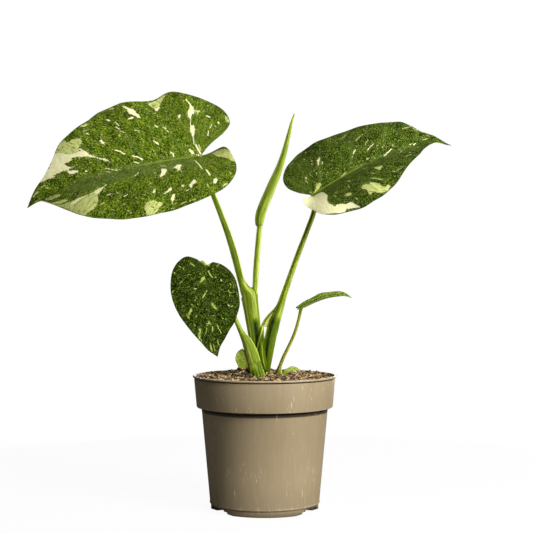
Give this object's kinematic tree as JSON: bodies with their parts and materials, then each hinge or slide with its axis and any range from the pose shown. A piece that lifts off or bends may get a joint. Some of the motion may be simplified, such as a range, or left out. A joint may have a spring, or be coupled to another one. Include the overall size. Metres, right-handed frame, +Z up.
{
  "type": "potted variegated monstera",
  "caption": "Young monstera with cream-speckled heart-shaped leaves on arching petioles, standing in soil in a tapered plastic nursery pot with a collar.",
  "frame": {"origin": "centre of the pot, on the surface it stands on", "axes": "+Z up along the pot's axis, -Y towards the viewer of the picture, +X towards the right leaf"},
  "size_m": [0.3608, 0.1209, 0.3549],
  "materials": {
    "pot": "satin taupe",
    "soil": "rough chips",
    "stem": "satin",
    "leaf": "satin, cream marks"
  },
  "bodies": {
    "root": {"pot": "pot", "soil": "soil", "crown_stem": "stem", "petiole_low_left": "stem", "petiole_upper_left": "stem", "petiole_right": "stem", "petiole_spear": "stem", "petiole_small_right": "stem", "blade_upper_left": "leaf", "blade_right": "leaf", "blade_low_left": "leaf", "blade_small_right": "leaf", "blade_spear": "leaf"}
  },
  "joints": []
}
